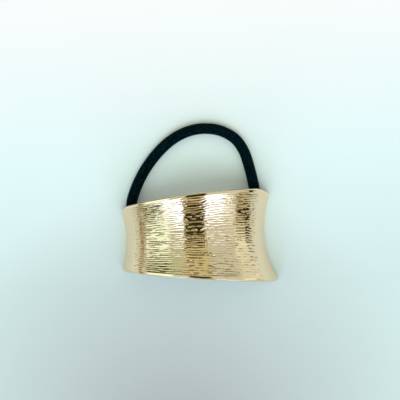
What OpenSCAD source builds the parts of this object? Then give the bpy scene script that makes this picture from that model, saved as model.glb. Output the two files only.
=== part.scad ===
// Ponytail cuff: a flared, arched metal plate that lies face up on a surface, and a round
// hair elastic held behind it by two soldered wire eyelets. Y runs along the hair.

/* [Arch of the plate] */
// Width over the outer faces at the waist
arch_w = 51.2; // [50.4:0.4:52.8]
// Outer radius of the tight bend at each end
end_r = 10; // [9.8:0.1:10.6]
// Radius of the hollow between the top and bottom edges
flare_r = 36; // [34:0.5:60]
// Thickness of the plate
plate_t = 1.2; // [1:0.1:1.3]

/* [Outline of the plate] */
// Top edge above the waist, at the narrow end
top_narrow = 11; // [10:0.1:13]
// Top edge above the waist, at the wide end
top_wide = 15.7; // [14:0.1:16.5]
// Bottom edge below the waist, at the narrow end
bottom_narrow = 11.7; // [11.5:0.1:14]
// Bottom edge below the waist, at the wide end
bottom_wide = 17.5; // [15:0.1:18]
// Radius of the top edge's slow curve
top_edge_r = 230; // [200:5:400]
// Radius of the bottom edge's slow curve
bottom_edge_r = 600; // [400:10:900]
// Radius of the top corner at the narrow end
corner_narrow_r = 4.7; // [3:0.1:6]
// Radius of the top corner at the wide end
corner_wide_r = 7.2; // [5:0.1:9]

/* [Eyelets] */
// Thickness of the eyelet's wire
wire_d = 1; // [0.8:0.1:1.2]
// Free space between the elastic and the eyelet
eyelet_gap = 0.4; // [0.3:0.05:0.5]
// Turn of each eyelet about the upright, to face along the elastic
eyelet_turn = 17; // [10:1:22]

/* [Elastic] */
// Thickness of the round elastic
elastic_d = 4; // [3.6:0.1:4]

/* [Hidden] */

// The arch's section is three tangent arcs, a flat middle one and a tight one at each end.
// Their centres stand on a triangle with sides 3, 4 and 5, which also gives the joins' slope.
end_x = arch_w / 2 - end_r;
join_rise = 3 / 4;
mid_drop = end_x * join_rise;
mid_r = end_r + end_x * 5 / 4;
// Each bend is revolved past its join, between these angles, and cut back to it
end_turn = 60;
mid_from = 30;

// Half the span between the places where the edges' heights are given
edge_x = 28;
// Places left and right of the middle where the rounded top corners begin
corner_x = 22.5;
// More than half of the plate's depth, more than the arch's height, and past all its faces
profile_half = 20;
cut_height = 30;
reach = 40;
round_fn = 240;
edge_fn = 1440;

// Each eyelet stands where the elastic runs through it
eyelet_y = 5;
eyelet_z = 3.8;
eyelet_r = elastic_d / 2 + eyelet_gap + wire_d / 2;
eyelet_wall_r = end_r - plate_t + flare_r - sqrt(flare_r * flare_r - eyelet_y * eyelet_y);
eyelet_reach = eyelet_wall_r - elastic_d / 2 - eyelet_gap;
eyelet_angle = asin(eyelet_z / eyelet_reach);
eyelet_x = end_x + eyelet_reach * cos(eyelet_angle);
leg_len = elastic_d / 2 + eyelet_gap + plate_t / 4;

// Middle line of the elastic, once round: up the wide side, over the open loop, down the
// narrow side, through the eyelet and back under the plate
elastic_route = [
    [21.2, 5, 3.8], [22.2, 9.5, 3.6], [22.6, 14, 3.1], [21.9, 19.5, 2.5], [20.9, 24.5, 2.1],
    [19.3, 30, 2], [16.3, 34.7, 2], [11.4, 37.8, 2], [6, 39, 2], [0.5, 38.6, 2],
    [-4.8, 36.7, 2], [-9.7, 33.4, 2], [-14.2, 28.9, 2], [-17.9, 23.9, 2.1], [-20.9, 18.2, 2.5],
    [-22.6, 13, 3.1], [-22.2, 9, 3.6], [-21.2, 5, 3.8], [-19.7, 0.5, 3.4], [-16.8, -3.6, 2.6],
    [-12.4, -7, 2.1], [-7, -9.2, 2], [-1, -10, 2], [5, -9.5, 2], [10.8, -7.5, 2.1],
    [15.9, -4.1, 2.6], [19.3, 0.3, 3.4]
];
elastic_sides = 12;
// Rings of the tube for each stretch between two points of the route
rings_per_stretch = 2;

function unit(v) = v / norm(v);

// The elastic lies on the surface and never under it
function on_surface(p) = [p.x, p.y, max(p.z, elastic_d / 2)];

// Point of a closed smooth curve through the points p, at the fraction t after point i
function curve_point(p, i, t) =
    let (
        n = len(p),
        a = p[(i + n - 1) % n],
        b = p[i],
        c = p[(i + 1) % n],
        d = p[(i + 2) % n]
    )
    b + t / 2 * (c - a)
        + t * t / 2 * (2 * a - 5 * b + 4 * c - d)
        + t * t * t / 2 * (3 * b - a - 3 * c + d);

// Middle of a disc of radius r whose rim passes the two ends at these heights from below
function edge_centre(y_narrow, y_wide, r) =
    let (
        chord = [2 * edge_x, y_wide - y_narrow],
        half = norm(chord) / 2,
        down = unit([chord.y, -chord.x])
    )
    [0, (y_narrow + y_wide) / 2] + down * sqrt(r * r - half * half);

// Everything below an edge that bows gently upwards
module below_edge(y_narrow, y_wide, r) {
    translate(edge_centre(y_narrow, y_wide, r))
        circle(r = r, $fn = edge_fn);
}

// What a rounded top corner takes off: side is -1 at the narrow end and 1 at the wide end
module corner_cut(side, r) {
    top = edge_centre(top_narrow, top_wide, top_edge_r);
    lean = asin((side * corner_x - top.x) / (top_edge_r - r));
    translate(top + (top_edge_r - r) * [sin(lean), cos(lean)])
        rotate(-lean)
            difference() {
                translate([side > 0 ? 0 : -reach, 0]) square(reach);
                circle(r = r, $fn = round_fn);
            }
}

// The plate seen from above
module plate_outline() {
    difference() {
        below_edge(top_narrow, top_wide, top_edge_r);
        below_edge(-bottom_narrow, -bottom_wide, bottom_edge_r);
        corner_cut(-1, corner_narrow_r);
        corner_cut(1, corner_wide_r);
    }
}

// Section of the wall, r from the axis of its bend, hollow towards the outside
module wall_section(r) {
    intersection() {
        translate([r + flare_r, 0])
            difference() {
                circle(r = flare_r + plate_t, $fn = round_fn);
                circle(r = flare_r, $fn = round_fn);
            }
        translate([r - plate_t, -profile_half])
            square([profile_half, 2 * profile_half]);
    }
}

// Part of the wall revolved about an axis along Y at the height z
module wall_bend(z, r, from, turn) {
    translate([0, 0, z])
        rotate([90, 0, 0])
            rotate_extrude(start = from, angle = turn, $fn = round_fn)
                wall_section(r);
}

// A prism along Y over an outline in X and Z
module cutter(outline) {
    rotate([90, 0, 0])
        linear_extrude(4 * profile_half, center = true) polygon(outline);
}

// The flat middle of the arch, between the two joins
module middle_bend() {
    up = reach * join_rise;
    intersection() {
        wall_bend(-mid_drop, mid_r, mid_from, 180 - 2 * mid_from);
        translate([0, 0, -mid_drop])
            cutter([[0, 0], [reach, up], [reach, 2 * reach], [-reach, 2 * reach], [-reach, up]]);
    }
}

// The tight bend at the wide end, from the surface up to the join
module end_bend() {
    translate([end_x, 0, 0])
        intersection() {
            wall_bend(0, end_r, 0, end_turn);
            cutter([[0, 0], [reach, reach * join_rise], [reach, -reach], [0, -reach]]);
        }
}

// The arched wall, before its edges are cut
module arch_wall() {
    middle_bend();
    end_bend();
    mirror([1, 0, 0]) end_bend();
}

// A wire staple with its feet in the wall, open towards +X, round the origin
module staple() {
    rotate([90, 0, 0])
        rotate_extrude(start = 90, angle = 180, $fn = round_fn)
            translate([eyelet_r, 0]) circle(d = wire_d, $fn = 48);
    for (side = [-1, 1])
        translate([0, 0, side * eyelet_r])
            rotate([0, 90, 0])
                cylinder(d = wire_d, h = leg_len, $fn = 48);
}

// The eyelet of the wide end
module eyelet() {
    translate([eyelet_x, eyelet_y, eyelet_z])
        rotate([0, 0, -eyelet_turn])
            rotate([0, -eyelet_angle, 0])
                staple();
}

// The plate and the two eyelets soldered to its inner face
module cuff() {
    color([0.86, 0.76, 0.52]) {
        intersection() {
            arch_wall();
            linear_extrude(cut_height) plate_outline();
        }
        eyelet();
        mirror([1, 0, 0]) eyelet();
    }
}

// The closed elastic, a round tube along its route
module elastic_band() {
    rings = len(elastic_route) * rings_per_stretch;
    path = [
        for (k = [0 : rings - 1])
            on_surface(curve_point(elastic_route, floor(k / rings_per_stretch),
                (k % rings_per_stretch) / rings_per_stretch))
    ];
    tube = [
        for (k = [0 : rings - 1])
            let (
                along = unit(path[(k + 1) % rings] - path[(k + rings - 1) % rings]),
                side = unit(cross(along, [0, 0, 1])),
                up = cross(side, along)
            )
            for (j = [0 : elastic_sides - 1])
                let (turn = 360 * j / elastic_sides)
                path[k] + elastic_d / 2 * (cos(turn) * side + sin(turn) * up)
    ];
    faces = [
        for (k = [0 : rings - 1], j = [0 : elastic_sides - 1])
            let (
                next_k = (k + 1) % rings,
                next_j = (j + 1) % elastic_sides
            )
            [
                k * elastic_sides + j, next_k * elastic_sides + j,
                next_k * elastic_sides + next_j, k * elastic_sides + next_j
            ]
    ];
    color([0.06, 0.08, 0.08])
        polyhedron(points = tube, faces = faces, convexity = 6);
}

cuff();
elastic_band();
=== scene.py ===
"""Ponytail cuff hair tie, dressed and lit.

An arched, flared metal plate with an engraved grain lies face up, and a round hair elastic runs through
two wire eyelets soldered inside it. Y runs along the hair, X to the plate's wide end and Z out through
its face. Shapes are worked out in millimetres and turned into metres when a mesh is written.
"""

import logging
import math
from dataclasses import dataclass, field
from enum import Enum

import bpy
import numpy as np
from mathutils import Euler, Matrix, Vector
from numpy.typing import NDArray

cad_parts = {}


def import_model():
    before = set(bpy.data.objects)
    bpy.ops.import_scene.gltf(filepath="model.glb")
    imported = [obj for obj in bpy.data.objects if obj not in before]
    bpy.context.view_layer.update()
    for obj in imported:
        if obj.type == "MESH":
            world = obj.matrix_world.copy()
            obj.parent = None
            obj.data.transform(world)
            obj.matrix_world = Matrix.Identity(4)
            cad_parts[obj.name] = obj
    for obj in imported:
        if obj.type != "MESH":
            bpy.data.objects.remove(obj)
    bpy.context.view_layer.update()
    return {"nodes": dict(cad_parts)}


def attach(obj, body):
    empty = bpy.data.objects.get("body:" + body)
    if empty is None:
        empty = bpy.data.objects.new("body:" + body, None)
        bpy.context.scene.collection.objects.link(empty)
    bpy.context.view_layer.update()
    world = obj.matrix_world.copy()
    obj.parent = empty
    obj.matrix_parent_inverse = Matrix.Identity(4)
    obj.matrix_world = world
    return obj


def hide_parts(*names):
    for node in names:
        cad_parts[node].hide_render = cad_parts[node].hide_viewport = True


LOG = logging.getLogger("hair_tie")
MM = 0.001

Array = NDArray[np.float64]
Indices = NDArray[np.int64]
Colour = tuple[float, float, float]


class End(Enum):
    """The two ends of the plate, each with its side along X."""

    WIDE = 1
    NARROW = -1

    @property
    def label(self) -> str:
        """The end's name in the names of pieces."""
        return self.name.lower()


class Slot(Enum):
    """The record's material slots."""

    GOLD = "gold_plate"
    ELASTIC = "black_elastic"


def unit(vectors: Array) -> Array:
    """Vectors divided by their lengths, along the last axis."""
    return vectors / np.linalg.norm(vectors, axis=-1, keepdims=True)


def ease(t: Array) -> Array:
    """Smooth step from 0 to 1: three times the square less twice the cube, held at 0 and 1 outside."""
    held = np.clip(t, 0.0, 1.0)
    return held * held * (3.0 - 2.0 * held)


def lattice_noise(u: Array, v: Array, seed: int) -> Array:
    """Smooth noise from 0 to 1 whose cells are one unit wide both ways.

    Random heights stand on a square lattice, and between them the height is blended with a smooth step,
    first along u and then along v.

    Args:
        u: First coordinate, in cells.
        v: Second coordinate, in cells, of the same shape.
        seed: Number that picks the lattice.

    Returns:
        The noise, of the shape of u and v.
    """
    size = 256
    heights = np.random.default_rng(seed).random((size, size))
    cell_u, cell_v = np.floor(u).astype(int), np.floor(v).astype(int)
    part_u, part_v = ease(u - cell_u), ease(v - cell_v)
    u0, v0 = cell_u % size, cell_v % size
    u1, v1 = (u0 + 1) % size, (v0 + 1) % size
    low = heights[u0, v0] * (1 - part_u) + heights[u1, v0] * part_u
    high = heights[u0, v1] * (1 - part_u) + heights[u1, v1] * part_u
    return low * (1 - part_v) + high * part_v


def grid_faces(rows: int, columns: int, close_rows: bool = False) -> Indices:
    """Quads of a grid of points stored row by row, where each row's last point joins its first.

    A face joins the points (i, j), (i + 1, j), (i + 1, j + 1) and (i, j + 1).

    Args:
        rows: Number of rows of points.
        columns: Number of points in a row.
        close_rows: True if the last row joins the first.

    Returns:
        Four point numbers a face.
    """
    i = np.arange(rows if close_rows else rows - 1)[:, None]
    j = np.arange(columns)[None, :]
    this_row, next_row = i * columns, (i + 1) % rows * columns
    next_j = (j + 1) % columns
    corners = np.broadcast_arrays(this_row + j, next_row + j, next_row + next_j, this_row + next_j)
    return np.stack(corners, axis=-1).reshape(-1, 4)


@dataclass
class Surface:
    """A mesh in the making: points in millimetres, faces, and what its material reads.

    Attributes:
        points: Places of the vertices, three numbers each.
        faces: Groups of faces, each group with its own number of corners.
        corner_uv: For each group of faces, the pattern coordinates of each corner, in millimetres.
        masks: Named values from 0 to 1, one for each vertex.
        finish_numbers: For each group of faces, the number of its material.
    """

    points: Array
    faces: list[Indices]
    corner_uv: list[Array] = field(default_factory=list)
    masks: dict[str, Array] = field(default_factory=dict)
    finish_numbers: list[int] = field(default_factory=list)

    def to_object(self, name: str, finishes: list[bpy.types.Material]) -> bpy.types.Object:
        """Writes the surface as a Blender mesh in metres.

        Args:
            name: Name of the piece.
            finishes: Its materials, in the order of finish_numbers.

        Returns:
            The new object, at the origin.
        """
        mesh = bpy.data.meshes.new(name)
        corners = np.concatenate([group.ravel() for group in self.faces])
        sizes = np.concatenate([np.full(len(group), group.shape[1]) for group in self.faces])
        starts = np.concatenate([[0], np.cumsum(sizes)[:-1]])
        mesh.vertices.add(len(self.points))
        mesh.vertices.foreach_set("co", (self.points * MM).astype(np.float32).ravel())
        mesh.loops.add(len(corners))
        mesh.loops.foreach_set("vertex_index", corners.astype(np.int32))
        mesh.polygons.add(len(sizes))
        mesh.polygons.foreach_set("loop_start", starts.astype(np.int32))
        mesh.polygons.foreach_set("use_smooth", np.ones(len(sizes), dtype=bool))
        if self.finish_numbers:
            numbers = np.repeat(self.finish_numbers, [len(group) for group in self.faces])
            mesh.polygons.foreach_set("material_index", numbers.astype(np.int32))
        if self.corner_uv:
            layer = mesh.uv_layers.new(name="surface")
            flat = np.concatenate([group.reshape(-1, 2) for group in self.corner_uv])
            layer.uv.foreach_set("vector", (flat * MM).astype(np.float32).ravel())
        for mask_name, values in self.masks.items():
            mask = mesh.attributes.new(mask_name, "FLOAT", "POINT")
            mask.data.foreach_set("value", values.astype(np.float32).ravel())
        mesh.update(calc_edges=True)
        mesh.validate()
        for finish in finishes:
            mesh.materials.append(finish)
        piece = bpy.data.objects.new(name, mesh)
        bpy.context.scene.collection.objects.link(piece)
        return piece


class Nodes:
    """Adds nodes to one tree and links them, so that a material reads as a list of steps."""

    def __init__(self, tree: bpy.types.NodeTree) -> None:
        """Takes the tree to add to.

        Args:
            tree: Node tree of a material, a world or a group.
        """
        self.tree = tree

    def add(self, kind: str, inputs: dict | None = None, **settings: object) -> bpy.types.Node:
        """Adds one node.

        Args:
            kind: Blender's name of the node, without the prefix ShaderNode.
            inputs: Value of each named or numbered input: a number, a colour or a socket to link.
            settings: Properties of the node itself.

        Returns:
            The new node.
        """
        node = self.tree.nodes.new(kind if kind.startswith("NodeGroup") else "ShaderNode" + kind)
        for name, value in settings.items():
            setattr(node, name, value)
        for key, value in (inputs or {}).items():
            self.feed(node.inputs[key], value)
        return node

    def place(self, group: bpy.types.NodeTree, inputs: dict[str, object]) -> bpy.types.Node:
        """Adds a node that uses a group, with the value or socket of each of its inputs."""
        return self.add("Group", inputs, node_tree=group)

    def feed(self, socket: bpy.types.NodeSocket, value: object) -> None:
        """Links a socket to an input, or sets the input's value.

        Args:
            socket: Input to feed.
            value: Socket to link, or a number or colour to set.
        """
        if isinstance(value, bpy.types.NodeSocket):
            self.tree.links.new(value, socket)
        elif socket.type == "RGBA" and len(value) == 3:
            socket.default_value = (*value, 1.0)
        else:
            socket.default_value = value

    def math(
        self, operation: str, first: object, second: object = 0.0, clamp: bool = False
    ) -> bpy.types.NodeSocket:
        """Result of one sum on numbers or sockets."""
        node = self.add("Math", {0: first, 1: second}, operation=operation, use_clamp=clamp)
        return node.outputs[0]

    def mix(
        self, share: object, first: object, second: object, **settings: object
    ) -> bpy.types.NodeSocket:
        """Mixes two colours.

        Args:
            share: Share of the second colour, from 0 to 1.
            first: Colour at share 0.
            second: Colour at share 1.
            settings: Properties of the node itself, such as its way of blending.

        Returns:
            The mixed colour.
        """
        # The node has a set of sockets for each type of value, and these are the ones for colours
        colour_inputs, colour_output = {0: share, 6: first, 7: second}, 2
        return self.add("Mix", colour_inputs, data_type="RGBA", **settings).outputs[colour_output]

    def spread(
        self, value: object, low: float, high: float, to_low: float = 0.0, to_high: float = 1.0
    ) -> bpy.types.NodeSocket:
        """A value from low to high, carried to the range from to_low to to_high and held there."""
        steps = {"Value": value, "From Min": low, "From Max": high, "To Min": to_low, "To Max": to_high}
        return self.add("MapRange", steps).outputs[0]

    def noise(self, place: object, scale: float, detail: float = 3.0) -> bpy.types.NodeSocket:
        """Noise from 0 to 1 at a place."""
        return self.add("TexNoise", {"Vector": place, "Scale": scale, "Detail": detail}).outputs["Fac"]


def new_group(
    name: str, inputs: dict[str, tuple[str, object]], outputs: dict[str, str]
) -> bpy.types.NodeTree:
    """Makes an empty shader node group with named sockets.

    Args:
        name: Name of the group.
        inputs: Type and usual value of each input, by name.
        outputs: Type of each output, by name.

    Returns:
        The group's tree, with its Group Input and Group Output nodes.
    """
    tree = bpy.data.node_groups.new(name, "ShaderNodeTree")
    for label, (kind, usual) in inputs.items():
        socket = tree.interface.new_socket(label, in_out="INPUT", socket_type="NodeSocket" + kind)
        if usual is not None:
            socket.default_value = usual
    for label, kind in outputs.items():
        tree.interface.new_socket(label, in_out="OUTPUT", socket_type="NodeSocket" + kind)
    tree.nodes.new("NodeGroupInput")
    tree.nodes.new("NodeGroupOutput")
    return tree


def handled_metal_group() -> bpy.types.NodeTree:
    """Colour and roughness of plated metal that has been handled.

    Faint cloudy smudges change the roughness, and grooves hold a warmer, darker colour, which is painted
    shade, and a duller roughness from grit.

    Returns:
        The group, made on the first call.
    """
    name = "handled_metal"
    if name in bpy.data.node_groups:
        return bpy.data.node_groups[name]
    tree = new_group(
        name,
        {
            "Clean": ("Color", (0.9, 0.7, 0.4, 1.0)),
            "Grimy": ("Color", (0.5, 0.3, 0.1, 1.0)),
            "Groove": ("Float", 0.0),
            "Gloss": ("Float", 0.08),
            "Smudge": ("Float", 0.05),
            "Grit": ("Float", 0.04),
        },
        {"Colour": "Color", "Roughness": "Float"},
    )
    nodes = Nodes(tree)
    given, out = tree.nodes["Group Input"].outputs, tree.nodes["Group Output"].inputs
    place = nodes.add("TexCoord").outputs["Object"]
    # Clouds about 11 mm wide where fingers have been, and specks about 1 mm wide
    cloud = nodes.spread(nodes.noise(place, 90.0), 0.35, 0.7)
    speck = nodes.spread(nodes.noise(place, 900.0, 2.0), 0.4, 0.8)
    smudge = nodes.math("MULTIPLY", nodes.math("MAXIMUM", cloud, speck), given["Smudge"])
    dulled = nodes.math("ADD", given["Gloss"], smudge)
    grit = nodes.math("MULTIPLY", given["Groove"], given["Grit"])
    nodes.feed(out["Roughness"], nodes.math("ADD", dulled, grit))
    # Deep in a groove the colour goes to the darker one: painted shade in the grooves
    nodes.feed(out["Colour"], nodes.mix(given["Groove"], given["Clean"], given["Grimy"]))
    return tree


@dataclass(frozen=True)
class PlatedGold:
    """Bright pale gold plating.

    Attributes:
        name: Name of the material.
        clean: Colour of the bare plating.
        grimy: Darker colour deep in a groove, painted shade in the grooves.
        gloss: Roughness where it is cleanest.
        smudge: Roughness that handling adds.
        grit: Roughness that dirt adds deep in a groove.
        scratch: Depth of the finest scratches, in millimetres.
        engraved: True if the mask of the grooves is on the mesh.
    """

    name: str
    clean: Colour = (0.94, 0.695, 0.475)
    # Painted shade deep in a groove
    grimy: Colour = (0.66, 0.47, 0.26)
    gloss: float = 0.05
    smudge: float = 0.03
    grit: float = 0.04
    scratch: float = 0.002
    engraved: bool = False

    def material(self) -> bpy.types.Material:
        """The finish as a Blender material.

        Returns:
            The material, made on the first call.
        """
        if self.name in bpy.data.materials:
            return bpy.data.materials[self.name]
        made = bpy.data.materials.new(self.name)
        made.use_nodes = True
        nodes = Nodes(made.node_tree)
        shader = made.node_tree.nodes["Principled BSDF"]
        shader.inputs["Metallic"].default_value = 1.0
        groove: object = 0.0
        if self.engraved:
            groove = nodes.add("Attribute", attribute_name="groove").outputs["Fac"]
        handled = nodes.place(
            handled_metal_group(),
            {
                "Clean": self.clean,
                "Grimy": self.grimy,
                "Groove": groove,
                "Gloss": self.gloss,
                "Smudge": self.smudge,
                "Grit": self.grit,
            },
        )
        nodes.feed(shader.inputs["Base Color"], handled.outputs["Colour"])
        nodes.feed(shader.inputs["Roughness"], handled.outputs["Roughness"])
        nodes.feed(shader.inputs["Normal"], self.scratches(nodes))
        return made

    def scratches(self, nodes: Nodes) -> bpy.types.NodeSocket:
        """Fine scratches that run with the grain, as a normal.

        The pattern coordinates are stretched, so that noise in them is long along the grain.

        Args:
            nodes: Nodes of the material.

        Returns:
            The normal.
        """
        along = nodes.add("UVMap", uv_map="surface").outputs["UV"]
        stretched = nodes.add("Mapping", {"Vector": along, "Scale": (0.05, 1.0, 1.0)}).outputs["Vector"]
        # Six scratches in a millimetre, each about 3 mm long
        lines = nodes.noise(stretched, 6000.0, 4.0)
        bump = nodes.add("Bump", {"Height": lines, "Distance": self.scratch * MM, "Strength": 1.0})
        return bump.outputs["Normal"]


ENGRAVED_GOLD = PlatedGold("engraved_gold", engraved=True)
POLISHED_GOLD = PlatedGold("polished_gold", gloss=0.16, smudge=0.1, scratch=0.004)
SOLDER_GOLD = PlatedGold("solder_gold", clean=(0.80, 0.66, 0.46), gloss=0.3, smudge=0.15)


@dataclass(frozen=True)
class KnitElastic:
    """Fine black knitted sleeve over a rubber core.

    Attributes:
        name: Name of the material.
        crest: Colour of the yarn where it stands proud.
        hollow: Colour between the yarns, near black: painted shade in the gaps of the knit.
        sheen_tint: Colour of the sheen.
        shine_tint: Colour of the plain reflection.
        roughness: Roughness of the yarn.
        sheen: Weight of the soft sheen of the yarn's fibres.
        sheen_spread: Roughness of that sheen.
        shine: Strength of the plain reflection, which a dull dyed yarn has little of.
    """

    name: str = "knit_elastic"
    crest: Colour = (0.0035, 0.027, 0.037)
    # Near black: painted shade in the gaps of the knit
    hollow: Colour = (0.0001, 0.0006, 0.0010)
    sheen_tint: Colour = (0.30, 0.80, 0.90)
    shine_tint: Colour = (0.15, 0.75, 0.95)
    roughness: float = 0.6
    sheen: float = 0.01
    sheen_spread: float = 0.4
    shine: float = 0.07

    def material(self) -> bpy.types.Material:
        """The finish as a Blender material.

        Returns:
            The material.
        """
        made = bpy.data.materials.new(self.name)
        made.use_nodes = True
        nodes = Nodes(made.node_tree)
        shader = made.node_tree.nodes["Principled BSDF"]
        shader.inputs["Roughness"].default_value = self.roughness
        shader.inputs["Sheen Weight"].default_value = self.sheen
        shader.inputs["Sheen Roughness"].default_value = self.sheen_spread
        shader.inputs["Sheen Tint"].default_value = (*self.sheen_tint, 1.0)
        shader.inputs["Specular IOR Level"].default_value = self.shine
        shader.inputs["Specular Tint"].default_value = (*self.shine_tint, 1.0)
        yarn = nodes.add("Attribute", attribute_name="yarn").outputs["Fac"]
        along = nodes.add("UVMap", uv_map="surface").outputs["UV"]
        # Single fibres are about 0.1 mm apart, and the tufts where the yarn is fuzzy 0.7 mm wide
        fibre = nodes.noise(along, 9000.0, 2.0)
        place = nodes.add("TexCoord").outputs["Object"]
        fuzz = nodes.spread(nodes.noise(place, 1400.0, 2.0), 0.46, 0.60, 0.08)
        lit = nodes.math("MULTIPLY", fuzz, nodes.spread(fibre, 0.3, 0.7, 0.6))
        # Where the knit sinks, the colour falls to the near-black one: painted shade between the yarns
        crest_share = nodes.math("MULTIPLY", yarn, lit)
        nodes.feed(shader.inputs["Base Color"], nodes.mix(crest_share, self.hollow, self.crest))
        bump = nodes.add("Bump", {"Height": fibre, "Distance": 0.03 * MM, "Strength": 0.6})
        nodes.feed(shader.inputs["Normal"], bump.outputs["Normal"])
        return made


@dataclass(frozen=True)
class EngravedGrain:
    """Close wavy lines cut along the face, like the grain of wood.

    Attributes:
        pitch: Spacing of the cuts across the grain, in millimetres.
        width: Width of a cut.
        depth: Depth of a plain cut.
        length: Length over which a cut strays off its row and back.
        fleck: Length over which it deepens and fades.
        nick: Length of the small nicks along it.
        stray: How far a cut strays from the middle of its row, as a share of the pitch.
        faintest: Share of its strength that a cut keeps where it is faintest.
        wander: How far slow bends carry all the rows together, in millimetres.
        bend_length: Length of those bends along the grain.
        bend_width: Their width across it.
        ripple: Height of the soft ridges between the cuts.
        ripple_length: Length of the ridges.
        ripple_width: Their width, as a share of the pitch.
        gouge: How much deeper the few strongest stretches are, as a share of the depth.
        quiet_from: Way along the arch from its middle at which the engraving starts to fade.
        quiet_band: Length over which it fades towards the feet.
        ragged: How much further some rows reach than others.
        shift: Way across by which the whole pattern is moved.
        seed: Number that picks the pattern.
    """

    pitch: float = 0.80
    width: float = 0.52
    depth: float = 0.085
    length: float = 2.0
    fleck: float = 1.5
    nick: float = 0.35
    stray: float = 0.24
    faintest: float = 0.25
    wander: float = 0.40
    bend_length: float = 9.0
    bend_width: float = 3.0
    ripple: float = 0.014
    ripple_length: float = 2.0
    ripple_width: float = 0.6
    gouge: float = 1.0
    quiet_from: float = 21.8
    quiet_band: float = 1.8
    ragged: float = 1.5
    shift: float = 100.0
    seed: int = 7

    def rows_of_cuts(self, along: Array, bent: Array, seed: int) -> Array:
        """Strength of the cut nearest to each place, as a share of a plain cut's depth.

        Each row of the pattern holds one cut. Four noises of the way along, with their own values in
        each row, move the cut off the row's middle, make it fade and come back, deepen the few
        stretches where the third is above 0.65, and nick it by up to a half either way. Across the
        cut its strength is a cosine bell.

        Args:
            along: Way along the arch, in millimetres.
            bent: Way across the grain after the slow bends, in millimetres.
            seed: Number that picks the cuts.

        Returns:
            The strength, of the shape of along and bent: 0 between the cuts, and above 1 where one is
            gouged.
        """
        # Slope and drop of the line that turns each noise into the smooth step's way
        fade_slope, fade_drop = 1.5, 0.1
        gouge_slope, gouge_drop = 4.0, 2.6
        row = np.floor(bent / self.pitch)
        strength = np.zeros_like(bent)
        for step in (-1, 0, 1):
            near = row + step
            moved = lattice_noise(along / self.length, near, seed) - 0.5
            middle = (near + 0.5 + 2.0 * self.stray * moved) * self.pitch
            off = np.clip(np.abs(bent - middle) / (self.width / 2), 0.0, 1.0)
            fade = lattice_noise(along / self.fleck, near, seed + 1)
            fading = self.faintest + (1.0 - self.faintest) * ease(fade_slope * fade - fade_drop)
            strong = lattice_noise(along / (2.0 * self.fleck), near, seed + 2)
            gouged = ease(gouge_slope * strong - gouge_drop)
            bell = 0.5 + 0.5 * np.cos(np.pi * off)
            nicked = 0.5 + lattice_noise(along / self.nick, near, seed + 3)
            strength = np.maximum(strength, fading * nicked * (1.0 + self.gouge * gouged) * bell)
        return strength

    def cut(self, along: Array, across: Array) -> Array:
        """Depth of the engraving at places on the face.

        A slow noise bends the rows of cuts, soft ridges of noise lie between them, and each row fades
        out towards the feet at its own place.

        Args:
            along: Way along the arch, in millimetres.
            across: Way across the grain, in millimetres.

        Returns:
            Depth in millimetres, at least 0.
        """
        slow = lattice_noise(along / self.bend_length, across / self.bend_width, self.seed) - 0.5
        bent = across + 2.0 * self.wander * slow + self.shift
        ridge_width = self.ripple_width * self.pitch
        ripple = lattice_noise(along / self.ripple_length, bent / ridge_width, self.seed + 3)
        each_row = lattice_noise(bent / self.pitch, np.sign(along), self.seed + 5)
        reach = self.quiet_from + self.ragged * each_row
        kept = ease(1.0 - (np.abs(along) - reach) / self.quiet_band)
        cuts = self.depth * self.rows_of_cuts(along, bent, self.seed + 1)
        return kept * (cuts + self.ripple * ripple)


@dataclass(frozen=True)
class ArchSection:
    """The section of the arch across the hair: three tangent arcs.

    Attributes:
        arch_w: Width over the outer faces at the waist.
        end_r: Outer radius of the tight bend at each end.
    """

    arch_w: float = 51.2
    end_r: float = 10.0

    @property
    def end_x(self) -> float:
        """Distance of an end bend's centre from the middle."""
        return self.arch_w / 2 - self.end_r

    @property
    def mid_drop(self) -> float:
        """Depth of the middle bend's centre under the surface."""
        return self.end_x * 3 / 4

    @property
    def mid_r(self) -> float:
        """Outer radius of the middle bend."""
        return self.end_r + self.end_x * 5 / 4

    @property
    def join(self) -> float:
        """Lean of the face where a tight bend meets the middle one, in radians."""
        return math.atan2(4, 3)

    @property
    def half_length(self) -> float:
        """Length of the outer face from the middle to one foot."""
        return self.mid_r * self.join + self.end_r * (math.pi / 2 - self.join)

    def lean(self, along: Array) -> Array:
        """Lean of the face at a way along it: arc length over the radius of the bend it lies on.

        Args:
            along: Way along the outer face from its middle, in millimetres.

        Returns:
            Angle of the face from level, in radians, negative towards the narrow end.
        """
        on_middle = self.mid_r * self.join
        past = np.maximum(np.abs(along) - on_middle, 0.0)
        within = np.minimum(np.abs(along), on_middle)
        return np.sign(along) * (within / self.mid_r + past / self.end_r)

    def axis(self, lean: Array) -> tuple[Array, Array, Array]:
        """Centre and outer radius of the bend at each lean.

        Args:
            lean: Angle of the face from level, in radians, negative towards the narrow end.

        Returns:
            The centre's X and Z, and the radius at the waist.
        """
        tight = np.abs(lean) > self.join
        centre_x = np.where(tight, np.sign(lean) * self.end_x, 0.0)
        centre_z = np.where(tight, 0.0, -self.mid_drop)
        return centre_x, centre_z, np.where(tight, self.end_r, self.mid_r)


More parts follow.
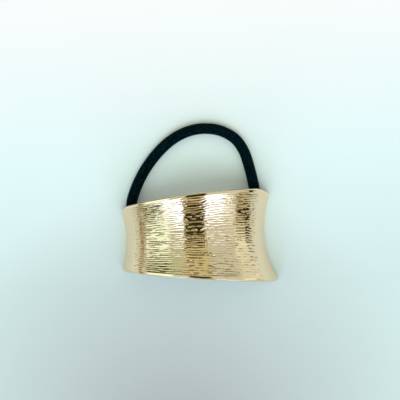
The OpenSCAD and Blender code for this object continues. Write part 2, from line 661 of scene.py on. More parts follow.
@dataclass(frozen=True)
class PlateOutline:
    """The plate seen from above: two slow curves and two rounded top corners.

    Attributes:
        edge_x: Half the span between the places where the edges' heights are given.
        top_narrow: Top edge above the waist at the narrow end.
        top_wide: Top edge above the waist at the wide end.
        bottom_narrow: Bottom edge below the waist at the narrow end.
        bottom_wide: Bottom edge below the waist at the wide end.
        top_r: Radius of the top edge.
        bottom_r: Radius of the bottom edge.
        corner_x: Where the rounded corners begin, from the middle.
        corner_narrow_r: Radius of the corner at the narrow end.
        corner_wide_r: Radius of the corner at the wide end.
    """

    edge_x: float = 28.0
    top_narrow: float = 11.0
    top_wide: float = 15.7
    bottom_narrow: float = 11.7
    bottom_wide: float = 17.5
    top_r: float = 230.0
    bottom_r: float = 600.0
    corner_x: float = 22.5
    corner_narrow_r: float = 4.7
    corner_wide_r: float = 7.2

    def bow(self, y_narrow: float, y_wide: float, radius: float) -> tuple[float, float]:
        """Centre of the circle through the two ends of an edge, below it.

        The centre stands off the middle of the chord, at right angles to it, by the root of the squared
        radius less the squared half chord.

        Args:
            y_narrow: Height of the edge at the narrow end.
            y_wide: Height of the edge at the wide end.
            radius: Radius of the edge.

        Returns:
            X and Y of the centre.
        """
        rise = y_wide - y_narrow
        chord = math.hypot(2 * self.edge_x, rise)
        stand_off = math.sqrt(radius**2 - (chord / 2) ** 2)
        return rise / chord * stand_off, (y_narrow + y_wide) / 2 - 2 * self.edge_x / chord * stand_off

    def top(self, x: Array) -> Array:
        """Height of the top edge: the slow curve, or the corner's arc inside it.

        Args:
            x: Places across, in millimetres.

        Returns:
            Y of the edge at each X.
        """
        centre_x, centre_y = self.bow(self.top_narrow, self.top_wide, self.top_r)
        edge = centre_y + np.sqrt(self.top_r**2 - (x - centre_x) ** 2)
        for end, radius in ((End.NARROW, self.corner_narrow_r), (End.WIDE, self.corner_wide_r)):
            lean = math.asin((end.value * self.corner_x - centre_x) / (self.top_r - radius))
            arc_x = centre_x + (self.top_r - radius) * math.sin(lean)
            arc_y = centre_y + (self.top_r - radius) * math.cos(lean)
            reach = np.clip((x - arc_x) / radius, -1.0, 1.0)
            starts = arc_x + radius * math.sin(lean)
            beyond = (x - starts) * end.value > 0
            edge = np.where(beyond, arc_y + radius * np.sqrt(1.0 - reach**2), edge)
        return edge

    def bottom(self, x: Array) -> Array:
        """Height of the bottom edge at each X, on its slow curve."""
        centre_x, centre_y = self.bow(-self.bottom_narrow, -self.bottom_wide, self.bottom_r)
        return centre_y + np.sqrt(self.bottom_r**2 - (x - centre_x) ** 2)


@dataclass
class Plate:
    """The arched, flared plate.

    Attributes:
        section: Its section across the hair.
        outline: Its outline seen from above.
        grain: The engraving of its outer face.
        flare_r: Radius of the hollow between the top and bottom edges.
        plate_t: Thickness.
        edge_r: Radius of the rounded edges.
        rim_w: Width of the worn rim inside the top and bottom edges.
        rim_sink: How far the rim falls away towards the edge.
        rim_fade: Width over which the engraving sets in beside the rim.
        foot_fade: Width over which it sets in beside a foot.
        columns: Points along the arch between the rounded feet.
        outer_rows: Points across the outer face.
        inner_rows: Points across the inner face.
        edge_steps: Points of each quarter circle of a rounded edge.
    """

    section: ArchSection = field(default_factory=ArchSection)
    outline: PlateOutline = field(default_factory=PlateOutline)
    grain: EngravedGrain = field(default_factory=EngravedGrain)
    flare_r: float = 36.0
    plate_t: float = 1.2
    edge_r: float = 0.22
    rim_w: float = 0.6
    rim_sink: float = 0.24
    rim_fade: float = 0.3
    foot_fade: float = 0.6
    columns: int = 290
    outer_rows: int = 289
    inner_rows: int = 17
    edge_steps: int = 5

    def place(self, lean: Array, tilt: Array, depth: Array) -> Array:
        """Places in the wall.

        In the plane that holds the bend's axis, the face is an arc round a centre that lies outside
        the plate, flare_r from the face. A place stands flare_r plus its depth from that centre, tilted
        along Y, and its distance from the bend's axis is then turned by the lean.

        Args:
            lean: Angle of the face along the arch, in radians.
            tilt: Angle along Y seen from the flare's centre, in radians.
            depth: Depth under the outer face, in millimetres.

        Returns:
            X, Y and Z of each place, in millimetres.
        """
        centre_x, centre_z, radius = self.section.axis(lean)
        from_axis = radius + self.flare_r - (self.flare_r + depth) * np.cos(tilt)
        return np.stack(
            np.broadcast_arrays(
                centre_x + from_axis * np.sin(lean),
                (self.flare_r + depth) * np.sin(tilt),
                centre_z + from_axis * np.cos(lean),
            ),
            axis=-1,
        )

    def edge_tilts(self, lean: Array) -> tuple[Array, Array]:
        """Tilts at which the plate ends, so that the middle of its edge lies on the outline from above.

        The edge's Y depends on X, and X a little on the tilt, so the tilt is found by repeating the two.

        Args:
            lean: Angle of the face along the arch.

        Returns:
            Tilt of the bottom edge and of the top edge, at each lean.
        """
        middle = self.plate_t / 2
        # The two agree long before the last repeat, and no edge tilts as far as the limit
        repeats, limit = 12, 0.9
        tilts = []
        for edge in (self.outline.bottom, self.outline.top):
            tilt = np.zeros_like(lean)
            for _ in range(repeats):
                x = self.place(lean, tilt, np.full_like(lean, middle))[..., 0]
                tilt = np.arcsin(np.clip(edge(x) / (self.flare_r + middle), -limit, limit))
            tilts.append(tilt)
        return tilts[0], tilts[1]

    def stations(self) -> Array:
        """Places the columns along the arch, closer together at the rounded feet.

        Returns:
            Way along the arch of each column, in millimetres.
        """
        foot = self.section.half_length
        close = self.edge_r * (1.0 - np.cos(np.linspace(0.0, np.pi / 2, self.edge_steps)))
        inner = np.linspace(-foot + self.edge_r, foot - self.edge_r, self.columns)
        return np.concatenate([-foot + close[:-1], inner, foot - close[:-1][::-1]])

    def surface(self) -> Surface:
        """The whole plate as one closed shell.

        Each column runs round the wall: up the outer face, round the top edge, down the inner face and
        round the bottom edge. The edges are quarter circles from each face to a flat between them.

        Returns:
            The closed shell, with the engraving cut into its outer face.
        """
        along = self.stations()
        lean = self.section.lean(along)
        low, high = self.edge_tilts(lean)
        inset = self.edge_r / self.flare_r
        turn = np.linspace(0.0, np.pi / 2, self.edge_steps)[1:]
        rise, sink = inset * np.sin(turn), self.edge_r * (1.0 - np.cos(turn))
        flat_low, flat_high = (low + inset)[:, None], (high - inset)[:, None]

        share = np.linspace(0.0, 1.0, self.outer_rows)
        outer_tilt = flat_low + (flat_high - flat_low) * share
        inner_tilt = flat_high + (flat_low - flat_high) * np.linspace(0.0, 1.0, self.inner_rows)
        up = np.broadcast_to(flat_high + rise, (len(along), len(rise)))
        down = np.broadcast_to(flat_low - rise, (len(along), len(rise)))
        tilt = np.concatenate([outer_tilt, up, up[:, ::-1], inner_tilt, down, down[:, ::-1]], axis=1)

        mean_height = self.flare_r * float(np.mean(high - low))
        grain_across = mean_height * np.broadcast_to(share, outer_tilt.shape)
        cut = self.grain.cut(np.broadcast_to(along[:, None], outer_tilt.shape), grain_across)
        flat_depth = np.concatenate(
            [
                np.zeros(self.outer_rows),
                self.rim_sink + sink,
                self.plate_t - sink[::-1],
                np.full(self.inner_rows, self.plate_t),
                self.plate_t - sink,
                self.rim_sink + sink[::-1],
            ]
        )
        depth = np.broadcast_to(flat_depth, tilt.shape).copy()
        to_foot = self.section.half_length - np.abs(along)
        short = np.clip(self.edge_r - to_foot, 0.0, self.edge_r)
        foot_sink = (self.edge_r - np.sqrt(self.edge_r**2 - short**2))[:, None]
        depth = np.clip(depth, foot_sink, self.plate_t - foot_sink)
        to_edge = np.minimum(share, 1.0 - share) * mean_height
        quiet = ease((to_edge - self.rim_w) / self.rim_fade) * ease(to_foot / self.foot_fade)[:, None]
        cut = cut * quiet
        rim = self.rim_sink * np.clip(1.0 - to_edge / self.rim_w, 0.0, 1.0) * np.ones((len(along), 1))
        depth[:, : self.outer_rows] += cut + rim

        points = self.place(lean[:, None], tilt, depth)
        groove = np.zeros(tilt.shape)
        groove[:, : self.outer_rows] = np.minimum(cut / self.grain.depth, 1.0)
        return self.shell(points, groove, along, tilt * self.flare_r)

    def shell(self, points: Array, groove: Array, along: Array, across: Array) -> Surface:
        """Joins the columns into a shell and closes its two feet.

        Args:
            points: Places, a column in each row of the array.
            groove: Mask of the grooves, of the same shape.
            along: Way along the arch of each column.
            across: Way across the plate of each point.

        Returns:
            The closed shell, with the engraved face first among its groups of faces.
        """
        columns, ring = points.shape[:2]
        wall = grid_faces(columns, ring).reshape(columns - 1, ring, 4)
        outer = np.arange(ring) < self.outer_rows - 1
        along_corners = np.stack([along[:-1], along[1:], along[1:], along[:-1]], axis=-1)[:, None, :]
        next_across = np.roll(across, -1, axis=1)
        across_corners = np.stack([across[:-1], across[1:], next_across[1:], next_across[:-1]], axis=-1)
        uv = np.stack([np.broadcast_to(along_corners, across_corners.shape), across_corners], axis=-1)

        # A foot's cap joins each stretch of the inner face to the outer points that face it
        steps = (self.outer_rows - 1) // (self.inner_rows - 1)
        stretch = np.arange(self.inner_rows - 1)
        outer_points = stretch[:, None] * steps + np.arange(steps + 1)
        first_inner = self.outer_rows + 2 * (self.edge_steps - 1)
        inner_points = first_inner + self.inner_rows - 1 - stretch
        cap = np.concatenate([outer_points, inner_points[:, None] - 1, inner_points[:, None]], axis=1)
        top_lip = np.arange(self.outer_rows - 1, first_inner + 1)
        bottom_lip = np.append(np.arange(first_inner + self.inner_rows - 1, ring), 0)
        caps = [cap, top_lip[None, :], bottom_lip[None, :]]
        last = (columns - 1) * ring
        feet = caps + [group[:, ::-1] + last for group in caps]

        faces = [wall[:, outer].reshape(-1, 4), wall[:, ~outer].reshape(-1, 4), *feet]
        corner_uv = [uv[:, outer].reshape(-1, 4, 2), uv[:, ~outer].reshape(-1, 4, 2)]
        corner_uv += [np.zeros((*group.shape, 2)) for group in feet]
        return Surface(
            points=points.reshape(-1, 3),
            faces=faces,
            corner_uv=corner_uv,
            masks={"groove": groove.ravel()},
            finish_numbers=[0, 1] + [1] * len(feet),
        )

    def build(self) -> bpy.types.Object:
        """Builds the plate, dresses it and hides the plain solid that it stands in for.

        Returns:
            The plate's object.
        """
        finishes = [ENGRAVED_GOLD.material(), POLISHED_GOLD.material()]
        piece = self.surface().to_object("cuff_plate", finishes)
        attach(piece, "root")
        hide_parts("cuff")
        return piece


def sweep(path: Array, radius: Array, sides: int, up: Array) -> Array:
    """Rings of a round tube along a path.

    Each ring stands square to the path, and its points turn from the side, which is the path's
    direction crossed with the up direction, towards the direction square to both.

    Args:
        path: Middle of each ring.
        radius: Radius of each ring, or of each point of each ring.
        sides: Points of a ring.
        up: A direction that the path never takes.

    Returns:
        Points, ring by ring.
    """
    direction = unit(np.gradient(path, axis=0))
    side = unit(np.cross(direction, up))
    lift = np.cross(side, direction)
    turn = np.linspace(0.0, 2 * np.pi, sides, endpoint=False)
    spoke = side[:, None] * np.cos(turn)[None, :, None] + lift[:, None] * np.sin(turn)[None, :, None]
    return path[:, None] + spoke * np.broadcast_to(radius, (len(path), sides))[..., None]


@dataclass
class Eyelet:
    """A wire staple with its feet soldered to the inner face, which the elastic runs through.

    Attributes:
        end: The end of the plate that it sits in.
        plate: The plate that carries it.
        wire_d: Thickness of the wire.
        gap: Free space between the elastic and the wire.
        elastic_d: Thickness of the elastic.
        facing_deg: Turn about the upright, to face along the elastic.
        y: Its place along the hair.
        z: Its height.
        solder_r: Radius of the solder's foot on the wall.
        leg_steps: Rings of the mesh along each leg.
        bow_steps: Rings of the mesh round the bow.
        solder_steps: Rings of the mesh along the solder's hollow.
        sides: Points of each ring of the wire and the solder.
    """

    end: End
    plate: Plate
    wire_d: float = 1.0
    gap: float = 0.4
    elastic_d: float = 4.0
    facing_deg: float = 17.0
    y: float = 5.0
    z: float = 3.8
    solder_r: float = 0.95
    leg_steps: int = 7
    bow_steps: int = 33
    solder_steps: int = 9
    sides: int = 24

    @property
    def bow_r(self) -> float:
        """Radius of the staple's bow, at the middle of the wire."""
        return self.elastic_d / 2 + self.gap + self.wire_d / 2

    @property
    def leg(self) -> float:
        """Length of each straight leg."""
        return self.elastic_d / 2 + self.gap + self.plate.plate_t / 4

    def to_plate(self, local: Array) -> Array:
        """Carries places of the staple to the plate.

        The staple opens towards +X. It is tipped up by the height over its reach, turned about the
        upright, moved to its place, and mirrored for the narrow end.

        Args:
            local: Places in the staple's own frame, in millimetres.

        Returns:
            The same places in the plate's frame.
        """
        section, plate = self.plate.section, self.plate
        hollow = plate.flare_r - math.sqrt(plate.flare_r**2 - self.y**2)
        reach = section.end_r - plate.plate_t + hollow - self.elastic_d / 2 - self.gap
        tip = math.asin(self.z / reach)
        turn = np.array(Euler((0.0, -tip, -math.radians(self.facing_deg)), "XYZ").to_matrix())
        placed = local @ turn.T + np.array([section.end_x + reach * math.cos(tip), self.y, self.z])
        return placed * np.array([self.end.value, 1.0, 1.0])

    def oriented(self, faces: Indices) -> Indices:
        """Faces that point outwards, also where the narrow end mirrors them."""
        return faces if self.end is End.WIDE else faces[:, ::-1]

    def tube(self, x: Array, z: Array, radius: Array) -> Surface:
        """A round tube along a path in the staple's own plane, with a flat cap at each end.

        Args:
            x: X of the middle of each ring.
            z: Z of the middle of each ring.
            radius: Radius of each ring.

        Returns:
            The closed tube in the plate's frame.
        """
        path = np.stack([x, np.zeros(len(x)), z], axis=-1)
        rings = sweep(path, radius[:, None], self.sides, np.array([0.0, 1.0, 0.0]))
        wall = grid_faces(len(rings), self.sides)
        first = np.arange(self.sides)[None, :]
        caps = [first, first[:, ::-1] + (len(rings) - 1) * self.sides]
        groups = [self.oriented(group) for group in (wall, *caps)]
        uv = [np.zeros((*group.shape, 2)) for group in groups]
        return Surface(points=self.to_plate(rings.reshape(-1, 3)), faces=groups, corner_uv=uv)

    def wire(self) -> Surface:
        """The bent wire: a tube along two straight legs and the half circle between them.

        Returns:
            The closed wire in the plate's frame.
        """
        turn = np.linspace(np.pi / 2, 3 * np.pi / 2, self.bow_steps)
        legs = np.linspace(self.leg, 0.0, self.leg_steps, endpoint=False)
        level = np.full(self.leg_steps, self.bow_r)
        x = np.concatenate([legs, self.bow_r * np.cos(turn), legs[::-1]])
        z = np.concatenate([level, self.bow_r * np.sin(turn), -level])
        return self.tube(x, z, np.full(len(x), self.wire_d / 2))

    def solder(self, side: int) -> Surface:
        """A collar of solder round one leg: a hollow quarter circle from the wire to the wall.

        Its radius grows towards the wall as the wire's radius plus the fillet less the root of the
        squared fillet less the squared distance gone.

        Args:
            side: 1 for the upper leg and -1 for the lower one.

        Returns:
            The closed collar in the plate's frame.
        """
        # The collar is a hair wider than the wire, starts early, and its foot is sunk into the wall
        wider, early, sunk = 0.02, 0.05, 0.3
        fillet = self.solder_r - self.wire_d / 2
        start = self.elastic_d / 2 + self.gap - fillet - early
        rise = fillet * np.sin(np.linspace(0.0, np.pi / 2, self.solder_steps))
        hollow = self.wire_d / 2 + wider + fillet - np.sqrt(fillet**2 - rise**2)
        x = np.append(start + rise, start + fillet + early + sunk)
        return self.tube(x, np.full(len(x), side * self.bow_r), np.append(hollow, self.solder_r))

    def build(self) -> list[bpy.types.Object]:
        """Builds the wire and its two collars of solder.

        Returns:
            The three objects, the wire first.
        """
        label = self.end.label
        pieces = [self.wire().to_object(f"eyelet_{label}", [POLISHED_GOLD.material()])]
        for side, place in ((1, "upper"), (-1, "lower")):
            collar = self.solder(side).to_object(f"solder_{label}_{place}", [SOLDER_GOLD.material()])
            pieces.append(collar)
        for piece in pieces:
            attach(piece, "root")
        return pieces


@dataclass
class Elastic:
    """The closed ring of round hair elastic.

    Attributes:
        diameter: Thickness.
        route: Its middle line once round, from the wide end's eyelet over the open loop.
        wales: Columns of knit stitches round the sleeve.
        stitch: Length of one stitch.
        relief: Height of the yarn over the gaps between stitches.
        leg_power: Power that fills out a stitch's legs, where 1 leaves them like a sine.
        lag: How much later the swelling comes at a column's edges, in stitches.
        swelling: Share of the yarn's height that swells and sinks once a stitch.
        curve_steps: Points of the curve between two points of the route.
        ring_step: Distance between the rings of the mesh.
        side_steps: Points of the mesh across one column of stitches.
        cord_step: Rings of the mesh between two points of a path; not used.
    """

    diameter: float = 4.0
    route: tuple[tuple[float, float, float], ...] = (
        (21.2, 5, 3.8), (22.2, 9.5, 3.6), (22.6, 14, 3.1), (21.9, 19.5, 2.5), (20.9, 24.5, 2.1),
        (19.3, 30, 2), (16.3, 34.7, 2), (11.4, 37.8, 2), (6, 39, 2), (0.5, 38.6, 2),
        (-4.8, 36.7, 2), (-9.7, 33.4, 2), (-14.2, 28.9, 2), (-17.9, 23.9, 2.1), (-20.9, 18.2, 2.5),
        (-22.6, 13, 3.1), (-22.2, 9, 3.6), (-21.2, 5, 3.8), (-19.7, 0.5, 3.4), (-16.8, -3.6, 2.6),
        (-12.4, -7, 2.1), (-7, -9.2, 2), (-1, -10, 2), (5, -9.5, 2), (10.8, -7.5, 2.1),
        (15.9, -4.1, 2.6), (19.3, 0.3, 3.4),
    )
    wales: int = 18
    stitch: float = 0.95
    relief: float = 0.11
    leg_power: float = 0.7
    lag: float = 0.55
    swelling: float = 0.4
    curve_steps: int = 40
    ring_step: float = 0.27
    side_steps: int = 6
    cord_step: int = 6

    def centre_line(self) -> tuple[Array, float]:
        """Spaces the rings evenly along the route, once round.

        A closed smooth curve runs through the route's points: between two of them it is a cubic whose
        slopes are half the step between each point's neighbours. It never lies under the surface.

        Returns:
            The middle of each ring, and the whole length.
        """
        knots = np.array(self.route)
        before, after, beyond = (np.roll(knots, shift, axis=0) for shift in (1, -1, -2))
        t = np.linspace(0.0, 1.0, self.curve_steps, endpoint=False)[None, :, None]
        a, b, c, d = (points[:, None] for points in (before, knots, after, beyond))
        curve = b + t / 2 * (c - a)
        curve = curve + t**2 / 2 * (2 * a - 5 * b + 4 * c - d) + t**3 / 2 * (3 * b - a - 3 * c + d)
        curve = curve.reshape(-1, 3)
        curve[:, 2] = np.maximum(curve[:, 2], self.diameter / 2)
        loop = np.vstack([curve, curve[:1]])
        run = np.concatenate([[0.0], np.cumsum(np.linalg.norm(np.diff(loop, axis=0), axis=1))])
        rings = round(run[-1] / self.ring_step)
        even = np.linspace(0.0, run[-1], rings, endpoint=False)
        return np.stack([np.interp(even, run, loop[:, k]) for k in range(3)], axis=-1), float(run[-1])

    def yarn(self, along: Array, around: Array) -> Array:
        """Height of the knit from 0 to 1.

        Each column of stitches has two legs side by side, rounded like a power of the sine of twice
        the way across it, and each leg swells once a stitch. The swelling comes later towards the
        column's edges, which draws the V of a knit stitch.

        Args:
            along: Way along the elastic, in stitches.
            around: Way round it, in columns of stitches.

        Returns:
            The height, of the shape of along and around.
        """
        within = around - np.floor(around)
        legs = np.abs(np.sin(2 * np.pi * within)) ** self.leg_power
        from_middle = np.abs(2 * within - 1)
        swell = 0.5 + 0.5 * np.cos(2 * np.pi * (along - self.lag * from_middle))
        return legs * (1.0 - self.swelling + self.swelling * swell)

    def surface(self, centres: Array, length: float) -> Surface:
        """The sleeve as a closed ring of tube, whose radius follows the knit.

        Args:
            centres: Middle of each ring.
            length: Length once round.

        Returns:
            The closed tube, with the knit's height as its mask.
        """
        rings, sides = len(centres), self.wales * self.side_steps
        wrapped = np.vstack([centres[-1:], centres, centres[:1]])
        stitches = round(length / self.stitch)
        along = np.arange(rings)[:, None] * stitches / rings
        around = np.arange(sides)[None, :] / self.side_steps
        height = self.yarn(*np.broadcast_arrays(along, around))
        radius = self.diameter / 2 - self.relief * (1.0 - height)
        padded = np.vstack([radius[-1:], radius, radius[:1]])
        tube = sweep(wrapped, padded, sides, np.array([0.0, 0.0, 1.0]))[1:-1]
        faces = grid_faces(rings, sides, close_rows=True)
        i, j = np.meshgrid(np.arange(rings), np.arange(sides), indexing="ij")
        corner_i = np.stack([i, i + 1, i + 1, i], axis=-1) * (length / rings)
        corner_j = np.stack([j, j, j + 1, j + 1], axis=-1) * (math.pi * self.diameter / sides)
        uv = np.stack([corner_i, corner_j], axis=-1).reshape(-1, 4, 2)
        return Surface(
            points=tube.reshape(-1, 3), faces=[faces], corner_uv=[uv], masks={"yarn": height.ravel()}
        )

    def build(self) -> bpy.types.Object:
        """Returns:
            The elastic's object.
        """
        centres, length = self.centre_line()
        piece = self.surface(centres, length).to_object("hair_elastic", [KnitElastic().material()])
        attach(piece, "root")
        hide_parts("elastic_band")
        LOG.info("hair_elastic: %.1f mm round", length)
        return piece


@dataclass(frozen=True)
class RoomPatch:
    """A soft-edged panel of the room round the table, as the plate reflects it.

    Its place is on the plane that a dome is flattened to when each direction is divided by one plus its
    height: straight up is the middle, and the horizon is the circle of radius 1.

    Attributes:
        name: What it is.
        middle: Its middle on that plane.
        half: Half its width and half its depth.
        soft: Width of its soft edge.
        glow: Its colour and brightness.
        lean: How far its middle moves across for each unit along.
    """

    name: str
    middle: tuple[float, float]
    half: tuple[float, float]
    soft: float
    glow: Colour
    lean: float = 0.0

    def inputs(self) -> dict[str, object]:
        """What this panel sets on the group that lays it over the room.

        Returns:
            Values of the group's inputs, by name.
        """
        places = {"Middle X": self.middle[0], "Middle Y": self.middle[1]}
        sizes = {"Half X": self.half[0], "Half Y": self.half[1], "Soft": self.soft, "Lean": self.lean}
        return {**places, **sizes, "Glow": self.glow}


@dataclass
class Studio:
    """Floor, room light and camera.

    Attributes:
        camera_at: Place of the camera, in millimetres.
        roll_deg: Turn of the picture against the plate.
        view_mm: Width of the surface that the picture takes in.
        floor_half_m: Half the side of the floor.
        painted_floor_falloff: Y in millimetres and the floor's tone there, from the viewer's side away, as
            painted light falloff.
        shade_at_m: Middle of the shaded place on the floor, in metres.
        shade_reach_m: How far from there the shade reaches.
        shade_tone: The floor's tone in the middle of the shade.
        softbox_at_m: Place of the soft light, in metres.
        softbox_size_m: Side of its square face.
        softbox_watts: Its power.
        softbox_colour: Its colour.
        room: Colour of the room where no panel is.
        room_tint: What the room's light is multiplied by where it falls on matt surfaces.
        backdrop: What a picture shows past the floor.
        patches: Panels of the room, the later ones over the earlier ones.
    """

    camera_at: tuple[float, float, float] = (2.37, 12.91, 260.0)
    roll_deg: float = 2.6
    view_mm: float = 148.0
    floor_half_m: float = 3.0
    # Painted light that falls off towards the viewer's side
    painted_floor_falloff: tuple[tuple[float, Colour], ...] = (
        (-18.0, (0.665, 0.764, 0.745)),
        (30.0, (0.785, 0.88, 0.868)),
        (85.0, (0.98, 0.91, 0.893)),
    )
    shade_at_m: tuple[float, float, float] = (-0.01, -0.08, 0.0)
    shade_reach_m: float = 0.10
    shade_tone: Colour = (0.40, 0.385, 0.385)
    softbox_at_m: tuple[float, float, float] = (0.0, -0.40, 0.91)
    softbox_size_m: float = 0.45
    softbox_watts: float = 3.7
    softbox_colour: Colour = (0.78, 0.97, 0.75)
    room: Colour = (0.635, 0.745, 0.68)
    room_tint: Colour = (1.12, 1.0, 1.08)
    backdrop: Colour = (0.70, 0.80, 0.80)
    patches: tuple[RoomPatch, ...] = (
        RoomPatch("left wall", (-0.55, -0.04), (0.22, 0.22), 0.06, (1.06, 1.42, 1.34)),
        RoomPatch("left far wall", (-0.50, 0.38), (0.24, 0.19), 0.08, (0.12, 0.125, 0.01)),
        RoomPatch("left horizon", (-0.90, 0.0), (0.055, 0.6), 0.05, (0.30, 0.28, 0.14)),
        RoomPatch("ceiling beyond", (0.0, 0.26), (0.18, 0.24), 0.08, (0.63, 0.66, 0.41)),
        RoomPatch("left beam", (-0.25, 0.24), (0.08, 0.30), 0.06, (0.55, 0.69, 0.50)),
        RoomPatch("left window", (-0.25, -0.42), (0.20, 0.30), 0.05, (1.6, 2.1, 3.0), lean=0.8),
        RoomPatch("left near wall", (-0.60, -0.42), (0.20, 0.20), 0.07, (0.11, 0.13, 0.01)),
        RoomPatch("right window", (0.25, -0.48), (0.13, 0.25), 0.05, (1.6, 2.1, 3.0)),
        RoomPatch("right near wall", (0.46, -0.40), (0.08, 0.24), 0.05, (0.94, 1.12, 1.12)),
        RoomPatch("right doorway", (0.78, -0.40), (0.19, 0.28), 0.05, (0.50, 0.46, 0.26)),
        RoomPatch("right shade", (0.77, -0.28), (0.17, 0.11), 0.03, (0.03, 0.025, 0.015)),
        RoomPatch("right mid wall", (0.70, 0.06), (0.14, 0.14), 0.05, (0.90, 1.06, 0.90)),
        RoomPatch("right low shade", (0.86, -0.08), (0.05, 0.12), 0.03, (0.03, 0.03, 0.02)),
        RoomPatch("right far wall", (0.85, 0.35), (0.25, 0.25), 0.10, (0.76, 0.92, 0.86)),
        RoomPatch("overhead shade", (0.0, -0.40), (0.135, 0.45), 0.02, (0.72, 0.71, 0.45)),
        RoomPatch("dusk beyond", (-0.42, 0.86), (0.58, 0.30), 0.12, (0.10, 0.09, 0.05)),
        RoomPatch("dim beyond", (0.36, 0.84), (0.22, 0.34), 0.12, (0.10, 0.09, 0.05)),
        RoomPatch("dusk behind", (0.0, -0.95), (1.0, 0.25), 0.12, (0.08, 0.07, 0.04)),
        RoomPatch("left window sill", (-0.33, -0.72), (0.18, 0.25), 0.02, (1.6, 2.1, 3.0)),
        RoomPatch("right window sill", (0.30, -0.72), (0.15, 0.25), 0.02, (1.6, 2.1, 3.0)),
        RoomPatch("overhead dark", (0.0, -0.17), (0.125, 0.20), 0.04, (0.035, 0.034, 0.018)),
    )

    def build_camera(self) -> bpy.types.Object:
        """A camera that looks straight down, with the picture turned against the plate.

        Returns:
            The camera's object.
        """
        lens = bpy.data.cameras.new("camera")
        lens.angle = 2 * math.atan(self.view_mm / 2 / self.camera_at[2])
        lens.clip_start, lens.clip_end = 0.01, 20.0
        camera = bpy.data.objects.new("camera", lens)
        camera.location = Vector(self.camera_at) * MM
        camera.rotation_euler = (0.0, 0.0, -math.radians(self.roll_deg))
        bpy.context.scene.collection.objects.link(camera)
        bpy.context.scene.camera = camera
        return camera

    def build_floor(self) -> bpy.types.Object:
        """A pale floor whose tone falls off softly towards the viewer's side, as painted light falloff,
        with a painted shadow on that side.

        Returns:
            The floor's object.
        """
        half = self.floor_half_m / MM
        corners = half * np.array([[-1.0, -1.0, 0.0], [1.0, -1.0, 0.0], [1.0, 1.0, 0.0], [-1.0, 1.0, 0.0]])
        square = Surface(points=corners, faces=[np.array([[0, 1, 2, 3]])])
        floor = square.to_object("floor", [self.floor_material()])
        return floor

    def floor_material(self) -> bpy.types.Material:
        """Matt pale finish with painted light and shade: its tone falls along Y, and a painted shadow
        darkens a place on the viewer's side.

        Returns:
            The material.
        """
        made = bpy.data.materials.new("pale_floor")
        made.use_nodes = True
        nodes = Nodes(made.node_tree)
        shader = made.node_tree.nodes["Principled BSDF"]
        shader.inputs["Roughness"].default_value = 0.9
        shader.inputs["Specular IOR Level"].default_value = 0.0
        place = nodes.add("TexCoord").outputs["Object"]
        parts = nodes.add("SeparateXYZ", {0: place})
        # Painted light falloff along Y
        tone: object = self.painted_floor_falloff[0][1]
        for (start, _), (stop, colour) in zip(self.painted_floor_falloff, self.painted_floor_falloff[1:]):
            share = nodes.spread(parts.outputs["Y"], start * MM, stop * MM)
            tone = nodes.mix(share, tone, colour)
        # Painted shadow round a place on the viewer's side
        off = nodes.add("VectorMath", {0: place, 1: self.shade_at_m}, operation="DISTANCE")
        lit = nodes.spread(off.outputs["Value"], 0.0, self.shade_reach_m)
        nodes.feed(shader.inputs["Base Color"], nodes.mix(lit, self.shade_tone, tone))
        return made

    def patch_group(self) -> bpy.types.NodeTree:
        """Group that lays one panel over the room.

        Along each axis the mask is the half size less the distance from the middle, over the width of
        the soft edge, plus one half, held between 0 and 1. The two masks are multiplied.

        Returns:
            The group's tree.
        """
        sockets = {
            label: ("Float", 0.0)
            for label in ("Across", "Along", "Middle X", "Middle Y", "Half X", "Half Y", "Soft", "Lean")
        }
        sockets |= {"Under": ("Color", None), "Glow": ("Color", None)}
        tree = new_group("room_panel", sockets, {"Colour": "Color"})
        nodes = Nodes(tree)
        given = tree.nodes["Group Input"].outputs
        masks = []
        for way, middle, half in (("Across", "Middle X", "Half X"), ("Along", "Middle Y", "Half Y")):
            off = nodes.math("SUBTRACT", given[way], given[middle])
            if way == "Across":
                beyond = nodes.math("SUBTRACT", given["Along"], given["Middle Y"])
                off = nodes.math("SUBTRACT", off, nodes.math("MULTIPLY", beyond, given["Lean"]))
            off = nodes.math("ABSOLUTE", off)
            within = nodes.math("DIVIDE", nodes.math("SUBTRACT", given[half], off), given["Soft"])
            masks.append(nodes.math("ADD", within, 0.5, clamp=True))
        laid = nodes.mix(nodes.math("MULTIPLY", *masks), given["Under"], given["Glow"])
        nodes.feed(tree.nodes["Group Output"].inputs["Colour"], laid)
        return tree

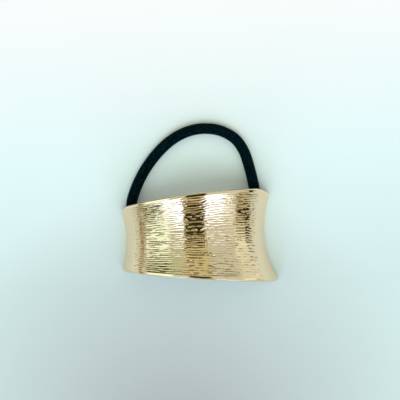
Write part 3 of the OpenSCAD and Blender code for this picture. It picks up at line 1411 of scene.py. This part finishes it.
    def build_room(self) -> bpy.types.World:
        """The room as soft panels on a dome, and a plain backdrop where the camera sees past the floor.

        Returns:
            The world.
        """
        world = bpy.data.worlds.new("room")
        bpy.context.scene.world = world
        world.use_nodes = True
        tree = world.node_tree
        tree.nodes.clear()
        nodes = Nodes(tree)
        direction = nodes.add("SeparateXYZ", {0: nodes.add("TexCoord").outputs["Generated"]}).outputs
        height = nodes.math("ADD", nodes.math("MAXIMUM", direction["Z"], 0.0), 1.0)
        across, along = (nodes.math("DIVIDE", direction[axis], height) for axis in ("X", "Y"))
        group = self.patch_group()
        colour: object = self.room
        for patch in self.patches:
            panel = nodes.place(
                group, {"Across": across, "Along": along, "Under": colour, **patch.inputs()}
            )
            panel.label = patch.name
            colour = panel.outputs["Colour"]
        path = nodes.add("LightPath").outputs
        tinted = nodes.mix(1.0, colour, self.room_tint, blend_type="MULTIPLY")
        lit = nodes.mix(path["Is Glossy Ray"], tinted, colour)
        seen = nodes.mix(path["Is Camera Ray"], lit, self.backdrop)
        sky = nodes.add("Background", {"Color": seen, "Strength": 1.0})
        nodes.add("OutputWorld", {"Surface": sky.outputs[0]})
        return world

    def build_softbox(self) -> bpy.types.Object:
        """A large soft light over the viewer's side, which no reflection or picture shows.

        Returns:
            The light's object.
        """
        lamp = bpy.data.lights.new("softbox", "AREA")
        lamp.shape = "SQUARE"
        lamp.size = self.softbox_size_m
        lamp.energy = self.softbox_watts
        lamp.color = self.softbox_colour
        softbox = bpy.data.objects.new("softbox", lamp)
        softbox.location = self.softbox_at_m
        softbox.rotation_euler = (-softbox.location).to_track_quat("-Z", "Y").to_euler()
        softbox.visible_glossy = False
        softbox.visible_camera = False
        bpy.context.scene.collection.objects.link(softbox)
        return softbox

    def build(self) -> None:
        """Builds the floor, the room and the soft light, after the camera."""
        self.build_floor()
        self.build_room()
        self.build_softbox()
        bpy.context.scene.view_settings.view_transform = "Standard"


def main() -> None:
    """Builds the camera, the elastic, the plate, its eyelets and the studio, and logs the frame's parts
    and each piece's faces.
    """
    logging.basicConfig(level=logging.INFO, format="%(name)s: %(message)s")
    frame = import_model()
    LOG.info("frame: %s", sorted(frame["nodes"]))
    studio = Studio()
    studio.build_camera()
    pieces = [Elastic().build()]
    plate = Plate()
    pieces.append(plate.build())
    for end in End:
        pieces += Eyelet(end, plate).build()
    studio.build()
    for piece in pieces:
        LOG.info("%s: %d faces", piece.name, len(piece.data.polygons))


if __name__ == "__main__":
    main()
